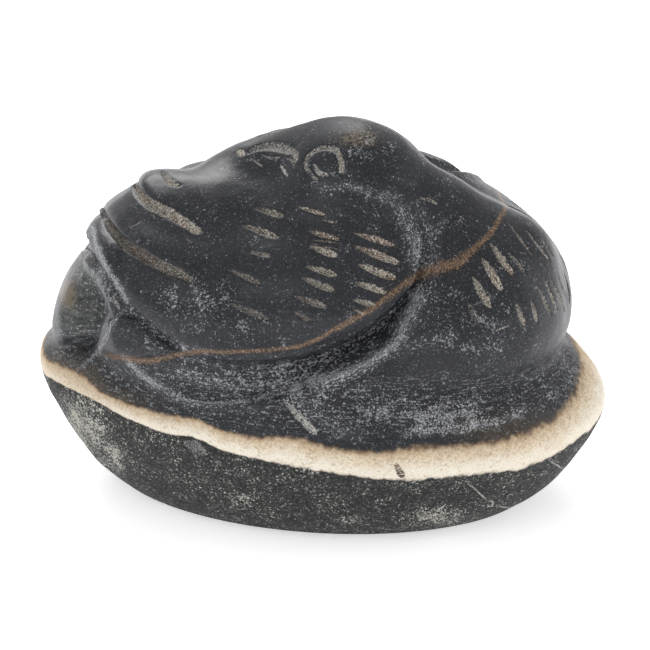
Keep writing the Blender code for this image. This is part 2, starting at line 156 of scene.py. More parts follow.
# Short feather cuts on the near side: the thin end, the blunt end, the width and the tone
WING_CUTS = (
    ((-7.1, 28.4), (-4.0, 27.4), 0.7, 0.55), ((-8.3, 26.6), (-4.6, 25.2), 0.75, 0.75),
    ((-7.7, 23.8), (-5.3, 23.2), 0.55, 0.45), ((-9.8, 21.9), (-6.3, 20.3), 0.6, 0.4),
    ((-10.0, 18.4), (-5.5, 16.6), 0.7, 0.25), ((-2.8, 28.5), (0.4, 27.5), 0.4, 0.8),
    ((-0.3, 27.1), (1.5, 26.7), 0.2, 0.6), ((-1.5, 25.9), (1.9, 24.9), 0.6, 0.85),
    ((-1.1, 24.9), (1.8, 24.6), 0.25, 0.45), ((-1.5, 24.4), (1.7, 23.2), 0.75, 0.9),
    ((-1.9, 22.3), (1.6, 21.2), 0.75, 0.8), ((-2.3, 21.1), (1.4, 19.6), 0.75, 0.6),
    ((-3.1, 19.1), (0.5, 17.9), 0.7, 0.45), ((-3.1, 17.5), (-1.2, 16.4), 0.5, 0.35),
    ((3.2, 25.7), (7.7, 24.3), 0.65, 0.9), ((3.3, 24.3), (8.1, 22.5), 0.9, 0.95),
    ((3.6, 22.4), (7.8, 20.9), 0.9, 1.0), ((3.3, 20.6), (6.8, 19.4), 0.75, 0.85),
    ((3.1, 18.7), (5.7, 18.1), 0.55, 0.65), ((3.2, 17.7), (4.4, 17.1), 0.3, 0.55),
)
BREAST_CUTS = (
    ((15.6, 21.2), (17.6, 17.8), 0.8, 0.8), ((16.6, 23.2), (18.8, 19.6), 0.85, 1.0),
    ((17.4, 24.8), (20.0, 21.2), 0.75, 0.9), ((19.3, 23.8), (21.3, 21.4), 0.5, 0.45),
    ((19.2, 27.1), (22.0, 23.3), 0.3, 0.5), ((21.3, 26.1), (23.7, 22.8), 0.4, 0.6),
    ((22.8, 25.3), (24.2, 23.1), 0.3, 0.35), ((20.2, 18.4), (21.2, 15.9), 0.6, 0.6),
    ((21.8, 18.7), (22.5, 16.2), 0.6, 0.6), ((22.4, 20.3), (23.9, 17.1), 0.5, 0.5),
    ((23.1, 21.1), (24.6, 17.6), 0.5, 0.6), ((23.7, 21.4), (25.4, 17.4), 0.5, 0.55),
    ((24.6, 21.2), (25.9, 17.9), 0.45, 0.5), ((15.2, 18.4), (16.4, 16.2), 0.7, 0.22),
)
CUT_DEPTH = 0.26
CUT_TAPER = 0.5

# The same cuts on the far side are plainer: columns of (top, foot, how many, length, lean in degrees)
FAR_COLUMNS = (
    ((-7.4, 28.0), (-9.6, 19.0), 4, 3.2, -19.0),
    ((-1.6, 26.4), (-2.8, 17.6), 6, 3.3, -18.0),
    ((3.2, 25.6), (3.2, 18.2), 5, 4.0, -18.0),
    ((17.4, 24.8), (15.6, 21.0), 3, 4.0, -58.0),
    ((24.4, 20.4), (20.4, 18.4), 4, 3.0, -68.0),
)
FAR_CUT_WIDTH = 0.65
FAR_TONE = 0.6

# Lines cut on both sides: points, then width, depth, how much the line thins to its ends, tone and hue
LOWER_GROOVE = (
    (-22.9, 28.3), (-22.7, 27.2), (-21.9, 25.9), (-20.6, 24.6), (-18.6, 23.3), (-16.5, 22.1), (-14.9, 21.4),
    (-13.3, 20.6),
)
UPPER_GROOVE = (
    (-19.8, 30.9), (-19.4, 30.1), (-18.6, 29.2), (-17.4, 28.4), (-15.8, 27.6), (-14.3, 26.7), (-13.2, 26.0),
    (-12.5, 25.9),
)
EYE_RING = (
    (-1.4, 31.9), (-1.7, 32.6), (-1.6, 33.5), (-0.9, 34.2), (0.2, 34.6), (1.4, 34.3), (1.9, 33.4),
    (2.0, 32.6), (2.0, 31.8),
)
NOSTRIL = (
    (-7.7, 34.1), (-7.1, 34.5), (-6.2, 34.7), (-5.0, 34.7), (-3.9, 34.4), (-3.1, 34.0), (-2.9, 33.4),
    (-3.2, 32.8),
)
LINES_ON_BOTH = (
    (LOWER_GROOVE, 1.15, 0.4, 0.5, 0.55, 1.1),
    (UPPER_GROOVE, 1.1, 0.42, 0.35, 1.0, 0.9),
    (EYE_RING, 0.6, 0.22, 0.1, 0.75, 0.6),
    (NOSTRIL, 1.12, 0.22, 0.2, 0.65, 0.4),
)

# Smaller lines, scratches, cracks and chips on the near side alone
LINES_ON_NEAR = (
    (((-16.7, 32.3), (-16.2, 31.6), (-15.6, 30.9), (-14.8, 30.6)), 0.85, 0.3, 0.4, 0.75, 0.9),
    (((-1.5, 32.6), (-1.1, 31.7), (-0.4, 31.1)), 0.4, 0.12, 0.3, 0.55, 0.5),
    (((-0.9, 33.0), (-0.6, 32.3), (-0.1, 31.8), (0.7, 31.7)), 0.58, 0.15, 0.4, 0.75, 0.4),
    (((-9.0, 34.4), (-8.5, 34.1), (-8.0, 33.8)), 0.75, 0.05, 0.5, 1.0, 1.0),
    (((-7.6, 33.6), (-6.8, 33.0), (-6.2, 32.6)), 0.3, 0.06, 0.4, 0.5, 0.2),
    (((-6.5, 33.9), (-5.4, 33.5), (-4.5, 33.6)), 0.3, 0.06, 0.4, 0.45, 0.2),
    (((-4.6, 33.2), (-4.1, 32.3), (-3.5, 31.5)), 0.36, 0.12, 0.6, 1.0, 0.0),
    (((-3.9, 33.5), (-3.2, 33.2), (-2.9, 32.3)), 0.25, 0.08, 0.4, 0.6, 0.3),
    (((9.8, 29.4), (10.9, 29.2), (12.2, 28.6)), 0.35, 0.02, 0.6, 0.6, 0.8),
    (((-4.1, 8.3), (-2.7, 6.8), (-1.4, 5.5), (-0.5, 4.7)), 0.75, 0.12, 0.45, 0.95, 0.2),
    (((-14.7, 3.9), (-13.4, 3.3), (-12.1, 2.6)), 1.5, 0.08, 0.6, 0.4, 0.0),
    (((17.7, 15.2), (18.5, 15.6), (19.5, 16.0)), 0.22, 0.04, 0.5, 0.55, 0.5),
    (((15.1, -0.4), (16.3, -1.4), (17.3, -2.3)), 0.2, 0.05, 0.3, 0.9, 0.3),
    (((17.3, -2.5), (17.6, -2.3), (17.9, -2.6), (17.7, -3.0), (17.3, -2.9)), 0.26, 0.08, 0.1, 1.0, 0.2),
    (((18.0, -2.8), (18.9, -3.0), (19.9, -3.1)), 0.3, 0.05, 0.4, 0.8, 0.3),
    (((23.5, 2.1), (24.4, 1.5), (25.6, 0.8)), 0.24, 0.05, 0.3, 0.85, 0.3),
    (((-23.5, 19.2), (-22.5, 18.9), (-21.6, 18.4), (-21.1, 17.5)), 0.45, 0.0, 0.4, 0.5, 0.1),
    (((-22.8, 18.5), (-22.6, 17.5), (-22.5, 16.4)), 0.3, 0.0, 0.5, 0.45, 0.0),
    (((7.6, 1.7), (8.0, 0.9), (8.5, 0.1)), 0.75, 0.18, 0.4, 1.0, 2.0),
    (((-24.8, 15.2), (-24.1, 15.3), (-23.3, 15.3)), 0.12, 0.0, 0.4, 0.6, 0.0),
    (((-20.2, 26.3), (-19.4, 26.6), (-18.7, 27.1)), 0.16, 0.03, 0.5, 0.6, 0.2),
    (((-14.3, 25.1), (-14.0, 24.9), (-13.7, 24.7)), 0.14, 0.03, 0.5, 0.5, 0.1),
)

# The white layer's lower and upper edge at angles round the base, in degrees from the breast
LAYER_EDGES = (
    (0, 10.5, 15.4), (20, 10.8, 16.2), (45, 10.2, 14.2), (75, 9.6, 13.0), (105, 10.6, 13.6),
    (135, 11.8, 14.2), (160, 11.9, 14.3), (195, 11.9, 13.9), (205, 12.7, 14.4), (215, 13.2, 14.8),
    (225, 13.3, 14.3), (235, 12.7, 14.2), (245, 12.2, 14.2), (251, 12.5, 14.4), (258, 11.5, 13.7),
    (265, 11.1, 13.6), (272, 10.7, 13.9), (280, 10.1, 13.1), (290, 9.35, 12.7), (297, 9.2, 13.2),
    (305, 9.1, 13.0), (315, 9.0, 12.8), (325, 8.6, 12.95), (333, 9.1, 13.3), (342, 9.9, 14.1),
    (352, 10.2, 14.9), (360, 10.5, 15.4),
)
LAYER_REACH = (-2.0, 3.0)
# The brown vein: points on the drawing, and its half width there
VEIN = (
    (-22.5, 12.9, 0.2), (-20.7, 12.6, 0.32), (-18.1, 12.3, 0.3), (-15.5, 12.9, 0.26), (-12.8, 13.3, 0.26),
    (-8.6, 13.3, 0.2), (-2.3, 13.9, 0.22), (2.2, 16.1, 0.28), (5.7, 18.1, 0.3), (8.4, 20.2, 0.34),
    (10.2, 21.4, 0.48), (12.2, 22.0, 0.56), (14.2, 22.7, 0.5), (16.1, 24.2, 0.32), (17.7, 25.9, 0.28),
    (18.7, 27.4, 0.28), (19.3, 28.6, 0.2),
)
VEIN_REACH = 9.0

# Marks where the stone is rubbed grey, fibrous along the mark: points, half width, how much; past 1 the mark
# is also a painted sheen along a ridge or edge
RUB_AND_SHEEN_MARKS = (
    (((-0.8, 30.7), (0.8, 30.4), (2.4, 30.6), (5.1, 29.8), (7.8, 28.8)), 0.9, 0.95),
    (((6.9, 29.4), (8.4, 27.9), (9.5, 25.9), (10.0, 23.4), (10.4, 21.7)), 2.1, 0.8),
    (((-0.4, 30.1), (1.1, 29.4), (3.2, 28.6), (4.8, 27.9)), 0.4, 0.55),
    (((7.2, 31.5), (8.4, 31.1), (9.6, 30.7)), 0.5, 0.5),
    (((-24.1, 26.3), (-23.6, 24.4), (-22.7, 22.5), (-21.6, 20.6), (-20.4, 18.5)), 0.6, 1.45),
    (((-20.3, 17.9), (-18.9, 16.5), (-17.1, 15.2), (-14.2, 13.7), (-12.1, 13.2)), 0.8, 0.7),
    (((10.1, 19.2), (8.6, 16.2), (7.6, 14.1), (5.1, 12.4), (1.9, 10.9), (-1.3, 10.2)), 1.45, 1.25),
    (((9.9, 28.6), (11.2, 26.0), (11.6, 23.4), (11.6, 22.2)), 1.5, 0.6),
    (((7.8, 13.0), (10.3, 14.2), (13.6, 14.8)), 1.4, 0.55),
    (((-25.2, 24.2), (-25.9, 21.0), (-26.5, 17.6), (-26.0, 15.0)), 2.0, 0.45),
    (((-2.3, 9.5), (-4.1, 9.2), (-6.3, 8.5), (-8.6, 8.1), (-11.3, 7.8), (-13.9, 8.1), (-16.5, 9.2),
      (-18.6, 10.8), (-20.7, 12.8)), 0.85, 1.0),
    (((-0.6, 9.9), (-3.4, 9.9), (-6.3, 9.7), (-9.1, 9.7), (-12.3, 10.3), (-14.9, 11.4)), 1.1, 0.8),
    (((-20.6, 12.6), (-18.9, 10.9), (-16.9, 9.5)), 0.85, 1.3),
    (((-14.5, 8.3), (-11.6, 7.9), (-8.8, 8.0), (-6.0, 8.5)), 0.4, 1.45),
    (((-24.1, 24.0), (-23.8, 21.7), (-22.9, 19.8), (-21.7, 18.3)), 2.0, 0.5),
    (((-25.5, 21.3), (-25.1, 19.8), (-24.0, 18.7)), 1.2, 0.6),
    (((-20.8, 17.5), (-22.1, 16.0), (-22.8, 14.4), (-23.7, 13.1), (-25.1, 11.8)), 0.5, 1.3),
    (((-22.0, 11.6), (-21.6, 10.5), (-21.3, 9.5)), 0.55, 0.6),
    (((-3.4, 8.6), (-1.1, 6.9), (1.7, 5.3), (3.6, 4.4)), 1.7, 0.6),
    (((4.7, 7.2), (8.2, 6.7), (12.4, 6.6), (16.1, 7.1)), 0.95, 0.6),
    (((8.7, 4.9), (12.4, 5.1), (15.6, 5.4), (18.7, 6.1), (21.1, 7.2)), 0.85, 0.9),
    (((12.4, 8.0), (15.6, 8.2), (19.3, 8.5)), 0.55, 0.5),
    (((25.7, 13.5), (25.1, 11.9), (24.1, 10.5), (22.7, 9.3)), 0.4, 0.6),
    (((-0.6, 36.7), (-1.7, 35.8), (-2.3, 34.8)), 0.35, 0.5),
    (((-13.1, 18.7), (-12.8, 17.7), (-12.3, 16.4)), 0.8, 0.4),
    (((-26.3, 13.5), (-24.4, 14.7), (-23.1, 15.6)), 0.95, 0.5),
    (((-12.0, 14.0), (-11.2, 13.3), (-10.5, 12.2)), 0.5, 0.5),
    (((-8.6, 12.9), (-3.4, 13.1), (1.4, 14.3), (5.3, 16.0)), 0.55, 0.35),
)

# Soft patches on the drawing, by what shows there: middle, half sizes, how much
PATCHES = {
    "specks": (
        ((-12.8, 18.2), (6.3, 4.0), 0.75), ((-7.6, 15.6), (6.3, 2.6), 0.5), ((16.6, 15.6), (8.9, 5.3), 0.55),
        ((23.5, 21.9), (3.2, 6.3), 0.3), ((12.4, 18.7), (3.4, 2.7), 0.6), ((10.3, 22.9), (4.4, 6.3), 0.4),
        ((1.9, 8.7), (9.5, 3.4), 0.6), ((12.4, 6.6), (12.1, 3.2), 0.8), ((4.0, 34.5), (5.5, 2.7), 0.6),
        ((-23.4, 19.8), (3.8, 6.3), 0.4), ((25.1, 10.3), (3.4, 4.4), 0.5),
    ),
    "brown": (((-26.6, 19.3), (1.5, 3.0), 1.0), ((3.8, 35.6), (4.0, 1.7), 0.8)),
    "cream": (
        ((12.1, -3.9), (4.7, 1.5), 0.6), ((2.9, -4.4), (2.3, 0.8), 0.4), ((-8.6, -2.3), (2.7, 1.3), 0.5),
        ((-22.0, 2.2), (2.6, 3.2), 0.5), ((-25.0, 5.8), (4.4, 6.6), 0.62),
    ),
    "warm": (((-27.0, 9.6), (14.0, 5.5), 0.8), ((19.5, 5.2), (9.0, 3.0), 0.45)),
    "tail": (((-25.6, 18.8), (4.6, 7.5), 1.0),),
    "dull": (((-3.2, 36.8), (9.0, 3.2), 1.0),),
}
PATCH_CORE = 0.2
PLAINER_ON_FAR = ("specks", "cream")
FAR_PAINT = 0.6

# Grooves along the far shoulder, where it shows past the neck
FAR_SHOULDER_MARKS = (
    (((10.0, 34.6), (13.4, 33.2), (17.6, 31.2), (21.0, 28.4)), 2.0, 0.85),
)

# How strokes are cut; across a stroke, 1 is the edge of its cut
CUT_FULL_WIDTH = 0.75
CUT_LEAST_DEPTH = 0.5
CUT_WALL = (1.25, 0.35)
CUT_FADE = (2.6, 1.6)
CUT_ENDS = (0.499, 0.47)
CUT_REACH = 3.0
SWELL_LEAN = 1.35
SWELL_LEAST = 0.001
TONE_AT_START = 0.7
TONE_GAIN = 0.45
SMOOTH_FROM = (1.4, 2.6)
SMOOTH_LEAST = 0.1
CURVE_STEPS = 6
STROKE_STEPS = 4
STROKE_VALUES = ("half_width", "depth", "taper", "tone", "hue", "side")
STROKE_SPACING = 0.08
SIDE_GAP = 0.3
THIN_HALF_WIDTH = 0.16
UNEVENNESS = 0.35
UNEVENNESS_STARTS = (0.2, 2.0)
UNEVENNESS_NOISE = (0.3, 3.0, 0.45)
UNEVENNESS_SEED = 7.0

# Colours of the stone
BLACK = (0.012, 0.0125, 0.0145, 1.0)
BLACK_BLUE = (0.025, 0.027, 0.033, 1.0)
GRIT = (0.085, 0.088, 0.098, 1.0)
TAIL_GREY = (0.12, 0.125, 0.115, 1.0)
# The grey of dust and rubbing, and also of the sheen painted lighter along ridges and edges
DUST_AND_SHEEN = (0.38, 0.39, 0.415, 1.0)
BLACK_GLOSS = 0.3
SPECK = (0.62, 0.63, 0.64, 1.0)
STAIN = (0.15, 0.115, 0.075, 1.0)
FOOT_DARK = (0.0125, 0.014, 0.0145, 1.0)
FOOT_LIGHT = (0.46, 0.46, 0.42, 1.0)
FOOT_CREAM = (0.37, 0.33, 0.26, 1.0)
CREAM = (0.68, 0.555, 0.39, 1.0)
WHITE = (0.84, 0.78, 0.66, 1.0)
SUGAR = (0.95, 0.93, 0.86, 1.0)
TAN = (0.44, 0.31, 0.185, 1.0)
PEACH = (0.56, 0.42, 0.27, 1.0)
RUST = (0.13, 0.07, 0.034, 1.0)
CUT_GREY = (0.36, 0.37, 0.38, 1.0)
CUT_TAN = (0.36, 0.325, 0.27, 1.0)
CUT_RED = (0.2, 0.115, 0.085, 1.0)
CUT_PALE = (0.72, 0.68, 0.6, 1.0)
CUT_BROWN = (0.1, 0.06, 0.035, 1.0)
CUT_DARK = (0.03, 0.026, 0.024, 1.0)
VEIN_BROWN = (0.3, 0.185, 0.11, 1.0)
VEIN_DARK = (0.06, 0.034, 0.02, 1.0)
VEIN_PALE = (0.5, 0.36, 0.2, 1.0)
BLACK_ROUGHNESS = 0.34
FOOT_ROUGHNESS = 0.75
WHITE_ROUGHNESS = 0.6
CUT_ROUGHNESS = 0.85

# Noises in the stone: scale in cells to a millimetre, detail, roughness, seed and any distortion
NOISES = {
    "layer edge": (0.9, 5.0, 0.6, 1.0),
    "vein edge": (0.5, 3.0, 0.5, 2.0),
    "cut edge": (4.4, 1.0, 0.5, 3.0),
    "cut breaks": (1.1, 2.0, 0.5, 20.0),
    "cloud": (0.16, 4.0, 0.5, 4.0),
    "grain": (3.4, 2.0, 0.6, 5.0),
    "fine": (6.0, 1.0, 0.5, 16.0),
    "curls": (2.2, 2.0, 0.6, 17.0, 1.4),
    "clumps": (0.55, 3.0, 0.6, 18.0),
    "coarse": (1.2, 5.0, 0.65, 14.0),
    "fibres": (1.0, 5.0, 0.7, 6.0),
    "strands": (1.0, 5.0, 0.7, 7.0),
    "scratches": (1.0, 5.0, 0.75, 8.0),
    "mottle": (0.5, 5.0, 0.7, 9.0),
    "cream": (0.35, 4.0, 0.6, 11.0),
    "rust": (1.4, 4.0, 0.65, 12.0),
    "pits": (6.2, 1.0, 0.5, 13.0),
    "red": (0.3, 2.0, 0.5, 19.0),
}
SCRATCH_STRETCH = (0.6, 1.6, 5.5)
DOT_SIZES = (0.22, 0.42)

# The studio, in metres; the camera looks at a place on the side drawing, in millimetres
CAMERA_DISTANCE = 2.6
CAMERA_SENSOR = 36.0
VIEW_WIDTH = 0.0684
VIEW_MIDDLE = (0.3, 16.1)
FLOOR_HALF_SIDE = 1.5
FLOOR_WHITE = (0.92, 0.92, 0.93, 1.0)
FLOOR_GLOW = 0.6
FLOOR_ROUGHNESS = 0.9
FLOOR_GLOSS = 0.1
SKY_STRENGTH = 0.7
LIT_POINT = (0.0, 0.0, 0.02)
SOFTBOXES = (
    ("back_light", (-0.27, 0.62, 0.5), 0.48, 3.8),
    ("front_light", (-0.3, -0.6, 0.6), 0.5, 0.8),
    ("right_light", (0.6, 0.15, 0.2), 0.3, 0.4),
)

# How finely the form is made, and the rays from the stone's heart that find its surface
GRID = 210
GRID_TRIANGLES = 12 * GRID**2
STONE_TRIANGLES = 190000
RAY_START = 36.0
RAY_END = 6.0
RAY_SAMPLES = 20
RAY_HALVINGS = 13
STAND_OFF = 2 * RAY_START
HEART = np.array([0.0, 0.0, 15.0])
FLAT_WITHIN = 0.02


# The form

def drawing_axes():
    """The drawing's across, upward and outward directions on the near side."""
    turn, rise = math.radians(DRAWING_TURN), math.radians(DRAWING_RISE)
    across = np.array([math.cos(turn), math.sin(turn), 0.0])
    outward = np.array([math.sin(turn), -math.cos(turn), 0.0]) * math.cos(rise)
    outward[2] = math.sin(rise)
    return across, np.cross(outward, across), outward


def on_drawing(points):
    """Where points fall on the side drawing."""
    across, upward, _ = drawing_axes()
    return np.stack([points @ across, points @ upward], axis=1)


def mirrored(points):
    """Points of the far side where they fall on the near side."""
    near = points.copy()
    near[:, 1] = -np.abs(points[:, 1])
    return near


def wings_meet(x):
    """Where the two wings meet: on the spine, then past it where one tip lies over the other."""
    return TIP_OVERLAP * ease(*TIP_OVERLAP_STARTS, x)


def smooth_line(points, closed=False, steps=CURVE_STEPS):
    """A Catmull-Rom curve through the points."""
    p = np.array(points, float)
    ends = (p[-1:], p[:2]) if closed else (2 * p[:1] - p[1:2], 2 * p[-1:] - p[-2:-1])
    p = np.concatenate([ends[0], p, ends[1]])
    curve = []
    for a, b, c, d in zip(p[:-3], p[1:-2], p[2:-1], p[3:]):
        for t in np.arange(steps) / steps:
            bend = (2 * a - 5 * b + 4 * c - d) * t + (3 * b - 3 * c + d - a) * t * t
            curve.append(b + 0.5 * t * (c - a + bend))
    return np.array(curve if closed else curve + [p[-2]])


def nearest_on(q, starts, ends):
    """Distance to a chain of straight pieces, the way along it, and 1 or -1 for the side of it."""
    best = np.full(len(q), np.inf)
    along = np.zeros(len(q))
    side = np.ones(len(q))
    gone = 0.0
    for a, b in zip(starts, ends):
        length = np.hypot(*(b - a))
        t = np.clip((q - a) @ (b - a) / length**2, 0.0, 1.0)
        off = q - a - t[:, None] * (b - a)
        away = np.hypot(*off.T)
        nearer = away < best
        best = np.where(nearer, away, best)
        along = np.where(nearer, gone + t * length, along)
        side = np.where(nearer, np.sign((b - a)[0] * off[:, 1] - (b - a)[1] * off[:, 0]), side)
        gone += length
    return best, along, side


def outline_distance(q, outline):
    """Distance to a closed outline, negative inside, and the nearest point's share of the way round."""
    line = smooth_line(outline, closed=True)
    after = np.roll(line, -1, axis=0)
    best, along, _ = nearest_on(q, line, after)
    within = np.zeros(len(q), bool)
    for a, b in zip(line, after):
        if a[1] != b[1]:
            beside = q[:, 0] < a[0] + (q[:, 1] - a[1]) / (b[1] - a[1]) * (b[0] - a[0])
            within ^= ((a[1] > q[:, 1]) != (b[1] > q[:, 1])) & beside
    return np.where(within, -best, best), along / np.linalg.norm(after - line, axis=1).sum()


def ease(low, high, x):
    """0 at low, 1 at high and an even curve between; low may be the larger."""
    t = np.clip((x - low) / (high - low), 0.0, 1.0)
    return t * t * (3 - 2 * t)


def join(a, b, blend):
    """Two fields as one mass, with a fillet where they meet."""
    h = np.clip(0.5 + 0.5 * (b - a) / blend, 0.0, 1.0)
    return b * (1 - h) + a * h - blend * h * (1 - h)


def meet(a, b, blend):
    """What two fields share, with a rounded edge."""
    return -join(-a, -b, blend)


def ellipsoid(p, mass):
    centre, radii, pitch = mass
    c, s = math.cos(math.radians(pitch)), math.sin(math.radians(pitch))
    q = (p - centre) @ np.array([[c, 0, s], [0, 1, 0], [-s, 0, c]])
    near = np.linalg.norm(q / radii, axis=1)
    slope = np.linalg.norm(q / np.square(radii), axis=1)
    return near * (near - 1) / np.maximum(slope, TINY)


def tapered_limb(p, start, end, start_radius, end_radius):
    way = np.subtract(end, start)
    t = np.clip((p - start) @ way / (way @ way), 0.0, 1.0)
    away = np.linalg.norm(p - start - t[:, None] * way, axis=1)
    return away - start_radius - (end_radius - start_radius) * t


def base_field(p):
    girth = smooth_line(BASE_GIRTH)
    height = p[:, 2] - RIM_SLOPE * p[:, 0] * np.clip(p[:, 2] / RIM_HEIGHT, 0.0, 1.0)
    towards_tail = np.clip(-p[:, 0] / BASE_HALF_LENGTH, 0.0, 1.0)
    height += TAIL_LEDGE_DROP * towards_tail * np.maximum(height - RIM_HEIGHT, 0.0)
    share = np.interp(height, girth[:, 0], girth[:, 1])
    return (np.hypot(p[:, 0] / BASE_HALF_LENGTH, p[:, 1] / BASE_HALF_WIDTH) - share) * BASE_HALF_WIDTH


def body_field(p):
    near = mirrored(p)
    body = ellipsoid(near, TRUNK)
    for mass, on_both, blend in JOINED_TO_TRUNK.values():
        body = join(body, ellipsoid(near if on_both else p, mass), blend)
    return meet(join(body, base_field(p), LEDGE_BLEND), -p[:, 2], FOOT_ROUNDING)


def shoulder_blend(p):
    """The head runs smoothly into the near wing, and meets the far one in a crease."""
    return np.interp(p[:, 1], *SHOULDER_BLENDS)


def head_field(p):
    lower = tapered_limb(p, *NECK[:2], *NECK_RADII[:2])
    upper = tapered_limb(p, *NECK[1:], *NECK_RADII[1:])
    head = join(join(lower, upper, NAPE_BLEND), ellipsoid(p, CROWN), HEAD_BLEND)
    return join(head, ellipsoid(p, BILL), HEAD_BLEND)


def rise(q, outline, height, rounding):
    """A shape that stands up from what it lies on, with a rounded edge."""
    within = np.clip(-outline_distance(q, outline)[0] / rounding, 0.0, 1.0)
    return height * np.sqrt(1 - (1 - within) ** 2)


def carving(q):
    """How far the carving lifts a place on the drawing, and the marks that its finish follows."""
    to_wing, share = outline_distance(q, WING_OUTLINE)
    to_flank = -outline_distance(q, FLANK_OUTLINE)[0]
    across = np.clip(to_wing / np.maximum(to_wing + to_flank, TINY), 0.0, 1.0)
    strength = np.interp(share, *zip(*CHANNEL_SHARES))
    bed = np.sin(math.pi * across**CHANNEL_SKEW)
    channel = strength * np.where((to_wing > 0) & (to_flank > 0), bed, 0.0)
    edge = EDGE_ROUNDING * strength * ease(-EDGE_WIDTH, 0.0, to_wing) ** 2 * ease(EDGE_WIDTH, 0.0, to_wing)
    lip = LIP_RISE * strength * ease(LIP_HALF_WIDTH, 0.0, np.abs(to_flank)) * ease(*LIP_STARTS, q[:, 0])
    lobes = rise(q, MIDDLE_LOBE, MIDDLE_STEP, LOBE_ROUNDING)
    lobes += rise(q, UPPER_LOBE, UPPER_STEP, LOBE_ROUNDING)
    nose = rise(q, NOSE_LOBE, NOSE_RISE, NOSE_ROUNDING)
    lens = rise(q, FLANK_LENS, LENS_RISE, LENS_ROUNDING)
    hollow = ease(0.0, TAIL_HOLLOW_ROUNDING, -outline_distance(q, TAIL_HOLLOW)[0])
    lift = lobes * (1 - ease(*LOBES_FADE, q[:, 0])) + nose + lip + lens
    lift -= CHANNEL_DEPTH * channel + edge + TAIL_HOLLOW_DEPTH * hollow
    return lift, {"channel": channel, "across": across, "run": share, "hollow": hollow}


def relief(points):
    """The carving and its marks on both sides; the near wing's tip lies over the far one's."""
    near = ease(OVERLAP_EDGE, -OVERLAP_EDGE, points[:, 1] - wings_meet(points[:, 0]))
    held = ease(*RELIEF_STARTS, points[:, 2])
    lift = np.zeros(len(points))
    marks = {name: np.zeros(len(points)) for name in ("channel", "across", "run", "hollow")}
    for share, seen in ((near, points), (1 - near, mirrored(points))):
        rows = np.flatnonzero(share * held)
        side_lift, side_marks = carving(on_drawing(seen[rows]))
        lift[rows] += share[rows] * held[rows] * side_lift
        for name, values in side_marks.items():
            marks[name][rows] += share[rows] * values
    return lift, marks


def rub_and_sheen_along(q, drawn_marks):
    """How much the stone is rubbed at places on the drawing, with a painted sheen where the amount passes 1,
    and where they lie in the mark.
    """
    rub_and_sheen, beside, along = (np.zeros(len(q)) for _ in range(3))
    for points, half_width, amount in drawn_marks:
        line = smooth_line(points)
        close = (q > line.min(axis=0) - half_width) & (q < line.max(axis=0) + half_width)
        rows = np.flatnonzero(close.all(axis=1))
        away, gone, side = nearest_on(q[rows], line[:-1], line[1:])
        here = amount * ease(half_width, 0.0, away)
        more = here > rub_and_sheen[rows]
        rub_and_sheen[rows[more]] = here[more]
        beside[rows[more]] = (away * side)[more]
        along[rows[more]] = gone[more]
    return rub_and_sheen, beside, along


def patched(q, patches):
    amount = np.zeros(len(q))
    for middle, half_sizes, most in patches:
        away = np.hypot(*((q - middle) / half_sizes).T)
        amount = np.maximum(amount, most * ease(1.0, PATCH_CORE, away))
    return amount


def cast(directions, field):
    """The outermost surface of a field along each direction from the stone's heart."""
    radii = np.linspace(RAY_START, RAY_END, RAY_SAMPLES)
    inner = np.full(len(directions), RAY_END)
    outer = np.full(len(directions), RAY_START)
    left = np.arange(len(directions))
    for far, near in zip(radii[:-1], radii[1:]):
        solid = field(HEART + near * directions[left], left) <= 0
        inner[left[solid]], outer[left[solid]] = near, far
        left = left[~solid]
    for _ in range(RAY_HALVINGS):
        middle = 0.5 * (inner + outer)
        solid = field(HEART + middle[:, None] * directions, np.arange(len(directions))) <= 0
        inner = np.where(solid, middle, inner)
        outer = np.where(solid, outer, middle)
    return HEART + inner[:, None] * directions


def layer_height(points):
    """Where a point lies across the white layer: 0 at its lower edge and 1 at its upper edge."""
    edges = smooth_line(LAYER_EDGES)
    around = np.degrees(np.arctan2(points[:, 1] / BASE_HALF_WIDTH, points[:, 0] / BASE_HALF_LENGTH)) % 360.0
    low = np.interp(around, edges[:, 0], edges[:, 1])
    high = np.interp(around, edges[:, 0], edges[:, 2])
    return np.clip((points[:, 2] - low) / (high - low), *LAYER_REACH)


def stone_marks(drawn):
    """What the stone shows at each drawn point: its layers, its vein, how it is worn and where sheen is
    painted.
    """
    q = on_drawing(mirrored(drawn))
    vein_line = smooth_line(VEIN)
    away, gone, side = nearest_on(q, vein_line[:-1, :2], vein_line[1:, :2])
    lengths = np.linalg.norm(np.diff(vein_line[:, :2], axis=0), axis=1)
    half_width = np.interp(gone, np.concatenate([[0.0], np.cumsum(lengths)]), vein_line[:, 2])
    far = drawn[:, 1] > wings_meet(drawn[:, 0])
    plainer = np.where(far, FAR_PAINT, 1.0)
    shoulder = rub_and_sheen_along(on_drawing(drawn), FAR_SHOULDER_MARKS)
    on_shoulder = far & (shoulder[0] > 0)
    marks = {"layer": layer_height(drawn)}
    marks["vein"] = np.clip(away * side / half_width, -VEIN_REACH, VEIN_REACH)
    for name, there, elsewhere in zip(("rub_and_sheen", "beside", "along"), shoulder, rub_and_sheen_along(q, RUB_AND_SHEEN_MARKS)):
        marks[name] = np.where(on_shoulder, there, elsewhere)
    marks["rub_and_sheen"] *= plainer
    for name, patches in PATCHES.items():
        marks[name] = patched(q, patches) * (plainer if name in PLAINER_ON_FAR else 1.0)
    marks["ledge"] = ease(*LEDGE_STREAKS[:2], drawn[:, 2]) * ease(*LEDGE_STREAKS[2:], drawn[:, 2])
    return marks


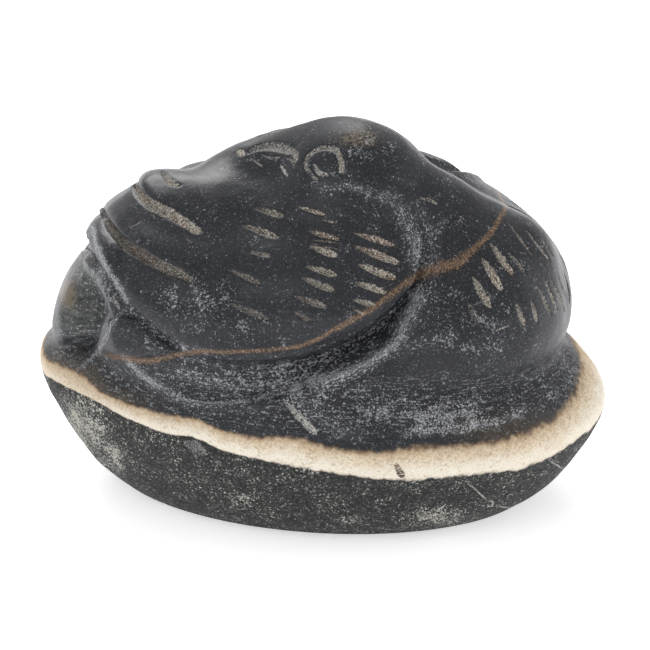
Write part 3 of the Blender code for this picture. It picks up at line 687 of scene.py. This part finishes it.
def stone_mesh():
    """A cube's grid of points, swelled out to the carved form, with what its stone shows at each point."""
    grid = bmesh.new()
    bmesh.ops.create_cube(grid, size=2.0)
    bmesh.ops.subdivide_edges(grid, edges=grid.edges[:], cuts=GRID - 1, use_grid_fill=True)
    cube = np.array([v.co for v in grid.verts])
    rays = np.tan(cube * math.pi / 4) * (BASE_HALF_LENGTH, BASE_HALF_WIDTH, BASE_HALF_WIDTH)
    directions = rays / np.linalg.norm(rays, axis=1)[:, None]
    body = cast(directions, lambda p, rows: body_field(p))
    lift, marks = relief(body)

    def duck_field(p, rows):
        return join(body_field(p) - lift[rows], head_field(p), shoulder_blend(p))

    drawn = cast(directions, duck_field)
    drawn[drawn[:, 2] < FLAT_WITHIN, 2] = 0.0
    bare = ease(*HEAD_COVERS, body_field(drawn) - lift)
    marks["channel"] *= bare
    marks["hollow"] *= bare
    marks.update(stone_marks(drawn))
    bmesh.ops.recalc_face_normals(grid, faces=grid.faces[:])
    mesh = bpy.data.meshes.new("duck_stone")
    grid.to_mesh(mesh)
    grid.free()
    mesh.vertices.foreach_set("co", to_frame(drawn, drawn).ravel())
    mesh.update()
    for name, values in marks.items():
        mesh.attributes.new(name, "FLOAT", "POINT").data.foreach_set("value", values)
    return mesh, drawn


def to_frame(points, drawn):
    """Drawn millimetres to metres in the frame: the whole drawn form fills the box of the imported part."""
    low, high = drawn.min(axis=0), drawn.max(axis=0)
    box_low, box_high = (np.array(corner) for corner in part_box("duck_figurine"))
    return box_low + (points - low) * (box_high - box_low) / (high - low)


# Node trees

class Wire:
    """A socket that can be used in sums: each operator adds its Math node to the tree."""

    def __init__(self, tree, socket):
        self.tree = tree
        self.socket = socket

    def math(self, operation, *others):
        return self.tree.add("ShaderNodeMath", dict(enumerate((self,) + others)), operation=operation)

    def __add__(self, other):
        return self.math("ADD", other)

    def __sub__(self, other):
        return self.math("SUBTRACT", other)

    def __mul__(self, other):
        return self.math("MULTIPLY", other)

    def __truediv__(self, other):
        return self.math("DIVIDE", other)

    def __rsub__(self, other):
        return self.tree.add("ShaderNodeMath", {0: other, 1: self}, operation="SUBTRACT")

    def __rtruediv__(self, other):
        return self.tree.add("ShaderNodeMath", {0: other, 1: self}, operation="DIVIDE")

    __radd__ = __add__
    __rmul__ = __mul__

    def at_least(self, least):
        return self.math("MAXIMUM", least)

    def at_most(self, most):
        return self.math("MINIMUM", most)

    def size(self):
        return self.math("ABSOLUTE")

    def swing(self, amount):
        """How far a noise lies to either side of its middle, times an amount."""
        return (self - 0.5) * amount

    def eased(self, low, high):
        """0 at low, 1 at high and an even curve between; low may be the larger."""
        values = {0: self, 1: low, 2: high}
        return self.tree.add("ShaderNodeMapRange", values, interpolation_type="SMOOTHSTEP")


class Tree:
    """A node tree being built."""

    def __init__(self, tree):
        self.tree = tree

    def node(self, kind, values, **settings):
        """One node: its settings first, then the values or links of its sockets."""
        made = self.tree.nodes.new(kind)
        for name, setting in settings.items():
            setattr(made, name, setting)
        for key, value in values.items():
            if isinstance(value, Wire):
                self.tree.links.new(value.socket, made.inputs[key])
            else:
                made.inputs[key].default_value = value
        return made

    def add(self, kind, values, output=0, **settings):
        """One node, as the wire from one of its outputs."""
        return Wire(self, self.node(kind, values, **settings).outputs[output])

    def vector(self, operation, values, output="Vector"):
        return self.add("ShaderNodeVectorMath", values, output, operation=operation)

    def noise(self, place, scale, detail, roughness, seed, distortion=0.0):
        values = {"Vector": place, "Scale": scale, "Detail": detail, "Roughness": roughness, "W": seed}
        return self.add("ShaderNodeTexNoise", {**values, "Distortion": distortion}, noise_dimensions="4D")


# The carving

def engraving_tree():
    """Casts drawn strokes onto a stone and sinks its surface near them."""
    group = bpy.data.node_groups.new("engrave", "GeometryNodeTree")
    group.is_modifier = True
    sockets = {
        "Stone": "Geometry", "Strokes": "Object", "Finish": "Material", "Seed": "Float",
        "Spacing": "Float", "Reach": "Float", "Thin": "Float", "Unevenness": "Float",
    }
    for name, kind in sockets.items():
        group.interface.new_socket(name, in_out="INPUT", socket_type="NodeSocket" + kind)
    group.interface.new_socket("Carved", in_out="OUTPUT", socket_type="NodeSocketGeometry")
    t = Tree(group)
    given = t.node("NodeGroupInput", {})
    asked = {name: Wire(t, given.outputs[name]) for name in sockets}

    def geometry(kind, values, output=0, **settings):
        return t.add("GeometryNode" + kind, values, output, **settings)

    def axis(vector, name):
        return t.add("ShaderNodeSeparateXYZ", {0: vector}, name)

    def stored(name, kind="FLOAT"):
        return geometry("InputNamedAttribute", {"Name": name}, data_type=kind)

    def without(points, unwanted):
        return geometry("DeleteGeometry", {"Geometry": points, "Selection": unwanted})

    drawn = geometry("ObjectInfo", {"Object": asked["Strokes"]}, "Geometry")
    lines = geometry("MeshToCurve", {"Mesh": drawn})
    lines = geometry("ResampleCurve", {"Curve": lines, "Length": asked["Spacing"]}, mode="LENGTH")
    spread = t.node("GeometryNodeCurveToPoints", {"Curve": lines}, mode="EVALUATED")
    dots = Wire(t, spread.outputs["Points"])
    tangent = Wire(t, spread.outputs["Tangent"])
    aim = stored("aim", "FLOAT_VECTOR")
    ray = {"Target Geometry": asked["Stone"], "Ray Direction": aim, "Ray Length": asked["Reach"]}
    on_stone = t.node("GeometryNodeRaycast", ray)
    missed = 1 - Wire(t, on_stone.outputs["Is Hit"])
    landed = Wire(t, on_stone.outputs["Hit Position"])
    dots = geometry("SetPosition", {"Geometry": without(dots, missed), "Position": landed})

    place = geometry("InputPosition", {})
    reach = (axis(place, "X") / MM).eased(*TIP_OVERLAP_STARTS) * TIP_OVERLAP
    clear = (reach - axis(place, "Y") / MM) * stored("side")
    dots = without(dots, clear.math("LESS_THAN", SIDE_GAP))
    nearest = geometry("SampleNearest", {"Geometry": dots})

    def at_nearest(value, kind="FLOAT"):
        return geometry("SampleIndex", {"Geometry": dots, "Value": value, "Index": nearest}, data_type=kind)

    off = t.vector("SUBTRACT", {0: place, 1: at_nearest(place, "FLOAT_VECTOR")})
    beside = {0: at_nearest(tangent, "FLOAT_VECTOR"), 1: at_nearest(aim, "FLOAT_VECTOR")}
    sign = t.vector("DOT_PRODUCT", {0: off, 1: t.vector("CROSS_PRODUCT", beside)}, "Value").math("SIGN")
    half_width = at_nearest(stored("half_width"))
    thin = half_width.math("LESS_THAN", asked["Thin"])
    share = at_nearest(stored("share"))
    swell = (share.math("POWER", SWELL_LEAN) * math.pi).math("SINE").at_least(SWELL_LEAST)
    swell = swell.math("POWER", at_nearest(stored("taper")))
    edge = (t.vector("LENGTH", {0: off}, "Value") / (half_width * swell)).at_most(CUT_REACH)
    sink = edge.eased(*CUT_WALL) * at_nearest(stored("depth"))
    within = (share - 0.5).size().eased(*CUT_ENDS) * edge.eased(*CUT_FADE)

    millimetres = t.vector("SCALE", {0: place, "Scale": 1 / MM})
    uneven = t.noise(millimetres, *UNEVENNESS_NOISE, asked["Seed"]).swing(asked["Unevenness"])
    uneven = uneven * axis(millimetres, "Z").eased(*UNEVENNESS_STARTS)
    move = t.vector("SCALE", {0: geometry("InputNormal", {}), "Scale": uneven - sink})

    stone = asked["Stone"]
    kept = {
        "cut": edge * ((sign - 1) * thin + 1),
        "tone": at_nearest(stored("tone")) * within * (share * TONE_GAIN + TONE_AT_START),
        "hue": at_nearest(stored("hue")),
        "smooth": edge.eased(*SMOOTH_FROM) * (1 - SMOOTH_LEAST) + SMOOTH_LEAST,
    }
    for name, value in kept.items():
        stone = geometry("StoreNamedAttribute", {"Geometry": stone, "Name": name, "Value": value})
    stone = geometry("SetPosition", {"Geometry": stone, "Offset": move})
    stone = geometry("RealizeInstances", {"Geometry": stone})
    stone = geometry("SetMaterial", {"Geometry": stone, "Material": asked["Finish"]})
    t.node("NodeGroupOutput", {"Carved": stone})
    return group


def drawn_strokes():
    """Every stroke as (points, half width, depth, taper, tone, hue, side); side -1 is the far side."""
    strokes = []
    for start, end, width, tone in WING_CUTS + BREAST_CUTS:
        middle = np.add(start, end) / 2
        depth = CUT_DEPTH * width / CUT_FULL_WIDTH * (CUT_LEAST_DEPTH + (1 - CUT_LEAST_DEPTH) * tone)
        strokes.append(((start, middle, end), width / 2, depth, CUT_TAPER, tone, 1.0, 1.0))
    for side, lines in ((1.0, LINES_ON_NEAR + LINES_ON_BOTH), (-1.0, LINES_ON_BOTH)):
        for points, width, *cut in lines:
            strokes.append((points, width / 2, *cut, side))
    for top, foot, count, length, lean in FAR_COLUMNS:
        reach = length * np.array([math.cos(math.radians(lean)), math.sin(math.radians(lean))])
        for share in np.linspace(0.0, 1.0, count):
            start = np.array(top) + share * np.subtract(foot, top)
            points = (start, start + reach / 2, start + reach)
            strokes.append((points, FAR_CUT_WIDTH / 2, CUT_DEPTH, CUT_TAPER, FAR_TONE, 1.0, -1.0))
    return strokes


def stroke_mesh(drawn):
    """The strokes as chains of points standing off the stone, with how each is cut kept on its points."""
    across, upward, outward = drawing_axes()
    places, edges = [], []
    kept = {name: [] for name in ("share", *STROKE_VALUES, "aim")}
    for points, half_width, depth, *rest in drawn_strokes():
        line = smooth_line(points, steps=STROKE_STEPS)
        mirror = np.array([1.0, rest[-1], 1.0])
        stand = (line[:, :1] * across + line[:, 1:] * upward + STAND_OFF * outward) * mirror
        edges += [(len(places) + i, len(places) + i + 1) for i in range(len(line) - 1)]
        places += list(stand)
        kept["share"] += list(np.linspace(0.0, 1.0, len(line)))
        kept["aim"] += [-outward * mirror] * len(line)
        for name, value in zip(STROKE_VALUES, (half_width * MM, depth * MM, *rest)):
            kept[name] += [value] * len(line)
    mesh = bpy.data.meshes.new("strokes")
    mesh.from_pydata(to_frame(np.array(places), drawn), edges, [])
    for name, values in kept.items():
        kind, part = ("FLOAT_VECTOR", "vector") if name == "aim" else ("FLOAT", "value")
        mesh.attributes.new(name, kind, "POINT").data.foreach_set(part, np.ravel(values))
    return mesh


def add_object(name, data):
    thing = bpy.data.objects.new(name, data)
    bpy.context.scene.collection.objects.link(thing)
    return thing


def carved_duck(material):
    """The duck as one plain mesh: the drawn form, engraved, then thinned where it is smooth."""
    mesh, drawn = stone_mesh()
    stone = add_object("duck_drawn", mesh)
    strokes = add_object("strokes", stroke_mesh(drawn))
    engrave = stone.modifiers.new("engrave", "NODES")
    engrave.node_group = engraving_tree()
    asked = {
        "Strokes": strokes, "Spacing": STROKE_SPACING * MM, "Reach": 2 * STAND_OFF * MM,
        "Thin": THIN_HALF_WIDTH * MM, "Unevenness": UNEVENNESS * MM, "Seed": UNEVENNESS_SEED,
        "Finish": material,
    }
    for socket in engrave.node_group.interface.items_tree:
        if socket.name in asked:
            engrave[socket.identifier] = asked[socket.name]
    stone.vertex_groups.new(name="smooth")
    thin = stone.modifiers.new("thin", "DECIMATE")
    thin.ratio = STONE_TRIANGLES / GRID_TRIANGLES
    thin.vertex_group = "smooth"
    seen = stone.evaluated_get(bpy.context.evaluated_depsgraph_get())
    carved = bpy.data.meshes.new_from_object(seen)
    carved.name = "duck_stone"
    for left_over in (stone, strokes):
        bpy.data.objects.remove(left_over)
    carved.shade_smooth()
    return add_object("duck_stone", carved)


# The stone

def banded_stone():
    """Black stone with a cream-white layer round its rim and a matt grey-green foot, all worn."""
    material = bpy.data.materials.new("banded_stone")
    material.use_nodes = True
    material.node_tree.nodes.clear()
    t = Tree(material.node_tree)
    place = t.vector("SCALE", {0: t.add("ShaderNodeTexCoord", {}, "Object"), "Scale": 1 / MM})

    def mark(name):
        return t.add("ShaderNodeAttribute", {}, "Fac", attribute_name=name)

    def noise(name, vector=place):
        return t.noise(vector, *NOISES[name])

    def painted(colour, *coats):
        """A ground with coats over it in turn, each a colour and its share."""
        for over, share in coats:
            colour = t.add("ShaderNodeMix", {0: share, 6: colour, 7: over}, 2, data_type="RGBA")
        return colour

    def laid(first, second):
        return t.add("ShaderNodeCombineXYZ", {0: first, 1: second})

    def dots(scale, density):
        """Round specks, larger and more of them where the density is high."""
        cells = t.node("ShaderNodeTexVoronoi", {"Vector": place, "Scale": scale})
        left = density - t.add("ShaderNodeSeparateColor", {0: Wire(t, cells.outputs["Color"])}, "Red")
        size = (left * 0.5 + DOT_SIZES[0]).at_most(DOT_SIZES[1]) * left.eased(0.0, 0.03)
        return (size - Wire(t, cells.outputs["Distance"])).eased(0.0, 0.1)

    # Where each layer, mark and cut lies
    rub_and_sheen, creamy, tone, hue = (mark(name) for name in ("rub_and_sheen", "cream", "tone", "hue"))
    grain, fine, curls, clumps = (noise(name) for name in ("grain", "fine", "curls", "clumps"))
    layer = mark("layer") + noise("layer edge").swing(0.3)
    white = layer.eased(-0.04, 0.04) * layer.eased(1.08, 0.9)
    foot = layer.eased(0.04, -0.04)
    channel = mark("channel").eased(0.05, 0.9)
    hollow = mark("hollow").eased(0.1, 0.8)
    vein = (mark("vein") + noise("vein edge").swing(1.6) + grain.swing(1.8)).size().eased(1.7, 0.3)
    ragged = mark("cut").size() + noise("cut edge").swing(1.2) + noise("cut breaks").swing(0.7)
    cut = ragged.eased(1.2, 0.85) * tone

    # The black, and what marks it: rubbed fibres, painted sheen on ridges and edges, scratches on the ledge,
    # dust and specks
    fibres = noise("fibres", laid(mark("beside") * 7.0, mark("along") * 1.6))
    strands = noise("strands", laid(mark("across") * 16.0, mark("run") * 60.0))
    scratches = noise("scratches", t.vector("MULTIPLY", {0: place, 1: SCRATCH_STRETCH}))
    rough = curls * 0.45 + grain * 0.55
    threads = (curls - 0.5).size().eased(0.06, 0.02)
    load = rub_and_sheen * 0.13 + mark("specks") * 0.05 + hollow * 0.06 + channel * 0.05 + mark("tail") * -0.04
    streaked = rub_and_sheen.at_most(1.0)
    worn = (rough.swing(1 - streaked * 0.45) + fibres.swing(streaked) * 1.3 + load).eased(0.085, 0.18)
    # Past a full rub the grey is a painted sheen: ridges and edges made lighter where light would catch them
    painted_sheen = (rub_and_sheen - 1.0).at_least(0.0)
    greyed = worn * (0.1 + fine.eased(0.44, 0.6)) + streaked * 0.06 + painted_sheen * 0.8
    dusty = (rough + strands.swing(0.9) + channel * 0.09).eased(0.6, 0.7) * channel
    streaks = fine * 0.6 + rough * 0.3 + scratches.swing(1.4) + 0.07
    ledge = streaks.eased(0.58, 0.7) * mark("ledge")
    density = mark("specks") * 0.34 + rub_and_sheen * 0.15 + channel * 0.15 + clumps.swing(0.5) + 0.03
    flecks = (fine + clumps.swing(0.15) + density * 0.16).eased(0.69, 0.74)
    squiggles = threads * (clumps * 0.5 + density * 0.4 + grain * 0.5).eased(0.62, 0.7)
    specks = dots(4.4, density - 0.05) * 0.6 + flecks * (0.32 + density * 1.2) + squiggles * 0.6
    black = painted(
        BLACK,
        (BLACK_BLUE, noise("cloud").eased(0.35, 0.65) * 0.3 + grain.eased(0.4, 0.62) * 0.7),
        (GRIT, (fine + clumps.swing(0.2)).eased(0.56, 0.72) * 0.5),
        (TAIL_GREY, mark("tail") * (0.42 + scratches.swing(2.2) + clumps.swing(1.6))),
        (STAIN, (grain + mark("brown") * 0.22).eased(0.56, 0.7) * mark("brown")),
        (STAIN, layer.eased(2.2, 1.0) * mark("warm") * (0.2 + grain.swing(1.5) + clumps * 0.8)),
        (DUST_AND_SHEEN, (greyed * 0.85 + dusty * 0.55 + ledge * 0.6).at_most(1.0)),
        (SPECK, specks.at_most(1.0) * 0.7),
    )

    # The foot and the white layer
    mottle = noise("mottle")
    dusted = creamy * 0.16 + mottle.swing(0.35)
    flecked = (grain * 0.45 + fine * 0.55 + dusted).eased(0.585, 0.635)
    facets = clumps.eased(0.4, 0.6)
    crusted = (mottle * 0.5 + grain * 0.5 + creamy * 0.16).eased(0.6, 0.7)
    under = painted(
        FOOT_DARK,
        (FOOT_LIGHT, flecked * (0.55 + facets * 0.5) + (grain + dusted).eased(0.35, 0.75) * 0.12),
        (FOOT_CREAM, dots(5.0, creamy * 0.3 + (mottle - 0.42) * 0.8 + 0.1) * 0.8),
        (FOOT_CREAM, crusted * creamy),
    )
    at_edges = layer.eased(0.12, -0.04) * 0.5 + layer.eased(0.8, 1.04)
    cream = painted(
        WHITE,
        (CREAM, layer.eased(0.15, 0.85) * 0.8 + noise("cream").swing(1.6)),
        (TAN, (fine * 0.4 + grain * 0.6 + layer.eased(0.3, 1.0) * 0.12).eased(0.54, 0.72) * 0.65),
        (TAN, (clumps * 0.5 + grain * 0.5 + layer.eased(0.2, 1.0) * 0.06).eased(0.53, 0.66) * 0.5),
        (TAN, mottle.eased(0.53, 0.66) * layer.eased(0.25, 0.85) * 0.7),
        (SUGAR, (fine * 0.6 + mottle * 0.4).eased(0.52, 0.62) * 0.6),
        (PEACH, mark("warm") * (0.55 + grain.swing(1.5) + (mottle - 0.5))),
        (TAN, dots(1.3, 0.16) * 0.5 + layer.eased(0.7, 1.02) * 0.6),
        (TAN, fine.eased(0.52, 0.6) * (0.25 + layer.eased(0.1, 0.9) * 0.3)),
        (TAN, curls.eased(0.52, 0.62) * (0.18 + layer.eased(0.2, 0.9) * 0.35)),
        (RUST, dots(2.4, layer.eased(0.1, 1.0) * 0.2 + clumps.swing(0.4)) * 0.6),
        (RUST, at_edges * noise("rust").eased(0.32, 0.58)),
    )

    # What fills the cuts, and the vein
    pits = noise("pits")
    filling = painted(
        CUT_GREY,
        (CUT_TAN, hue.at_most(1.0)),
        (CUT_BROWN, (hue - 1.0).at_least(0.0)),
        (CUT_RED, noise("red").eased(0.5, 0.62) * hue * 0.6),
        (CUT_DARK, (pits - tone * 0.05 + 0.03).eased(0.47, 0.6) * 0.92),
        (CUT_PALE, (fine + (tone - 0.5) * 0.06).eased(0.53, 0.66) * 0.8),
    )
    veined = painted(
        VEIN_DARK,
        (VEIN_BROWN, vein * 0.6 + fine.swing(2.6)),
        (VEIN_PALE, (fine * 0.6 + clumps * 0.4).eased(0.54, 0.66) * 0.6),
    )
    patchy = (0.05 + grain * 1.1 + fine.swing(1.2)).at_most(1.0)
    in_black = vein * (1 - white) * (1 - foot) * patchy
    colour = painted(black, (under, foot), (cream, white), (veined, in_black), (filling, cut))

    # How each reflects, and its fine relief in millimetres
    matt = (channel * 0.4 + hollow * 0.4 + ledge * 0.4 + greyed * 0.6 + specks * 0.4).at_most(0.9)
    roughness = BLACK_ROUGHNESS + matt * 0.3 + fine.swing(0.25) + mark("dull") * 0.35
    roughness = roughness * (1 - foot) * (1 - white) + foot * FOOT_ROUGHNESS + white * WHITE_ROUGHNESS
    roughness = roughness * (1 - cut) + cut * CUT_ROUGHNESS
    height = grain.swing(0.02 + foot * 0.08 + greyed * 0.04 + white * 0.03)
    height = height + noise("coarse").swing(0.012 + foot * 0.14 + white * 0.08)
    height = height + strands.swing(channel) * 0.1 + scratches.swing(mark("ledge")) * 0.08
    height = height + fibres.swing(rub_and_sheen) * 0.12 + pits.swing(cut) * 0.14
    bump = t.add("ShaderNodeBump", {"Strength": 1.0, "Distance": MM, "Height": height})

    look = {"Base Color": colour, "Roughness": roughness, "Specular IOR Level": BLACK_GLOSS, "Normal": bump}
    t.node("ShaderNodeOutputMaterial", {"Surface": t.add("ShaderNodeBsdfPrincipled", look)})
    return material


# The studio

def floor_material():
    material = bpy.data.materials.new("pale_floor")
    material.use_nodes = True
    shader = material.node_tree.nodes["Principled BSDF"]
    look = {
        "Base Color": FLOOR_WHITE, "Roughness": FLOOR_ROUGHNESS, "Specular IOR Level": FLOOR_GLOSS,
        "Emission Color": FLOOR_WHITE, "Emission Strength": FLOOR_GLOW,
    }
    for name, value in look.items():
        shader.inputs[name].default_value = value
    return material


def pale_floor():
    mesh = bpy.data.meshes.new("studio_floor")
    side = FLOOR_HALF_SIDE
    corners = [(-side, -side, 0), (side, -side, 0), (side, side, 0), (-side, side, 0)]
    mesh.from_pydata(corners, [], [(0, 1, 2, 3)])
    mesh.materials.append(floor_material())
    return add_object("studio_floor", mesh)


def turn(thing, rotation):
    thing.rotation_mode = "QUATERNION"
    thing.rotation_quaternion = rotation


def camera():
    """The photograph's view: a long lens, a little round to the breast's side and a little above."""
    across, upward, outward = drawing_axes()
    lens = bpy.data.cameras.new("camera")
    lens.sensor_width = CAMERA_SENSOR
    lens.lens = lens.sensor_width * CAMERA_DISTANCE / VIEW_WIDTH
    thing = add_object("camera", lens)
    middle = VIEW_MIDDLE[0] * across + VIEW_MIDDLE[1] * upward
    thing.location = middle * MM + CAMERA_DISTANCE * outward
    turn(thing, Matrix((across, upward, outward)).transposed().to_quaternion())
    bpy.context.scene.camera = thing


def studio():
    camera()
    world = bpy.data.worlds.new("studio")
    world.use_nodes = True
    sky = world.node_tree.nodes["Background"]
    sky.inputs["Color"].default_value = (1.0, 1.0, 1.0, 1.0)
    sky.inputs["Strength"].default_value = SKY_STRENGTH
    bpy.context.scene.world = world
    for name, place, side, power in SOFTBOXES:
        light = bpy.data.lights.new(name, "AREA")
        light.size = side
        light.energy = power
        lamp = add_object(name, light)
        lamp.location = place
        turn(lamp, (Vector(LIT_POINT) - lamp.location).to_track_quat("-Z", "Y"))
    bpy.context.scene.view_settings.view_transform = "Standard"


def main():
    duck = carved_duck(banded_stone())
    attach(duck, "root")
    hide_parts("duck_figurine")
    pale_floor()
    studio()


main()
